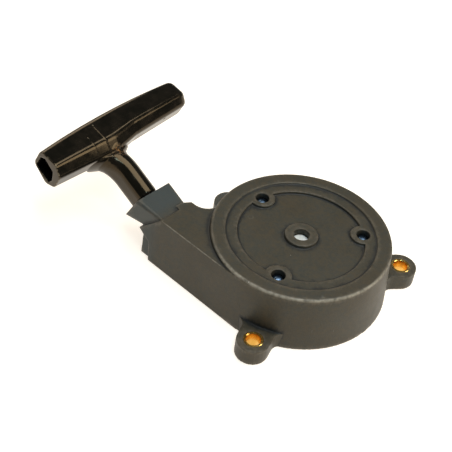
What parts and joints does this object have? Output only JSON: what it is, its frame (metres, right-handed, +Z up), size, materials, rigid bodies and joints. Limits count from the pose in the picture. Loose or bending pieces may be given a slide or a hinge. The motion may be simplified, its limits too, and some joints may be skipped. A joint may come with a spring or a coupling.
{
  "type": "recoil starter",
  "caption": "Round pull-rope recoil starter for a small engine, with mounting lugs, brass inserts, rewind spring, pulley, pawls and a T grip.",
  "frame": {"origin": "centre of the bounding box, on the housing's open mounting plane", "axes": "+X from the grip towards the cup along the rope arm, +Z up out of the closed top of the cup, the grip's bar along Y"},
  "size_m": [0.1672, 0.1236, 0.0509],
  "materials": {
    "housing_plastic": "fine-grained satin",
    "grip_plastic": "polished gloss",
    "natural_nylon": "smooth satin",
    "pulley_plastic": "satin",
    "brass": "turned, bright",
    "black_steel": "blackened, smooth",
    "steel": "zinc plated",
    "spring_steel": "blued",
    "bronze": "sintered",
    "rope_fibre": "braided nylon"
  },
  "bodies": {
    "housing_body": {"housing": "housing_plastic", "brass_insert_1": "brass", "brass_insert_2": "brass", "brass_insert_3": "brass", "case_screw_1": "black_steel", "case_screw_2": "black_steel", "case_screw_3": "black_steel", "outlet_eyelet": "steel", "spring_case": "natural_nylon", "rewind_spring": "spring_steel", "spring_retainer": "steel", "retaining_washer": "steel", "retaining_screw": "steel", "rope_run": "rope_fibre"},
    "pulley_body": {"pulley": "pulley_plastic", "pulley_bush": "bronze", "rope_coil": "rope_fibre", "rope_inner_knot": "rope_fibre", "brake_spring": "spring_steel", "pawl_pin_1": "steel", "pawl_pin_2": "steel"},
    "pawl_body_1": {"pawl_1": "steel"},
    "pawl_body_2": {"pawl_2": "steel"},
    "guide_body": {"guide_plate": "steel"},
    "grip_body": {"grip": "grip_plastic", "knot_washer": "steel", "rope_knot": "rope_fibre", "rope_in_stem": "rope_fibre"}
  },
  "joints": [
    {"name": "grip_pull", "type": "slide", "parent": "housing_body", "child": "grip_body", "axis": [-0.8988, 0, 0.4384], "range_m": [0, 0.6], "stiffness_N_per_m": 15, "springref_m": -0.8},
    {"name": "pulley_spin", "type": "hinge", "parent": "housing_body", "child": "pulley_body", "pos_m": [0.0357, 0.0106, 0.012], "axis": [0, 0, -1], "range_deg": [0, 1200]},
    {"name": "pawl_1_swing", "type": "hinge", "parent": "pulley_body", "child": "pawl_body_1", "pos_m": [0.05, 0.0106, 0.0065], "axis": [0, 0, -1], "range_deg": [0, 40]},
    {"name": "pawl_2_swing", "type": "hinge", "parent": "pulley_body", "child": "pawl_body_2", "pos_m": [0.0214, 0.0106, 0.0065], "axis": [0, 0, -1], "range_deg": [0, 40]},
    {"name": "guide_turn", "type": "hinge", "parent": "pulley_body", "child": "guide_body", "pos_m": [0.0357, 0.0106, 0.0042], "axis": [0, 0, -1], "range_deg": [0, 20]}
  ],
  "couplings": [
    {"joint": "pulley_spin", "follows": "grip_pull", "rad_per_m": 34.6},
    {"joint": "pawl_2_swing", "follows": "pawl_1_swing", "ratio": 1},
    {"joint": "guide_turn", "follows": "pawl_1_swing", "ratio": 0.5}
  ]
}
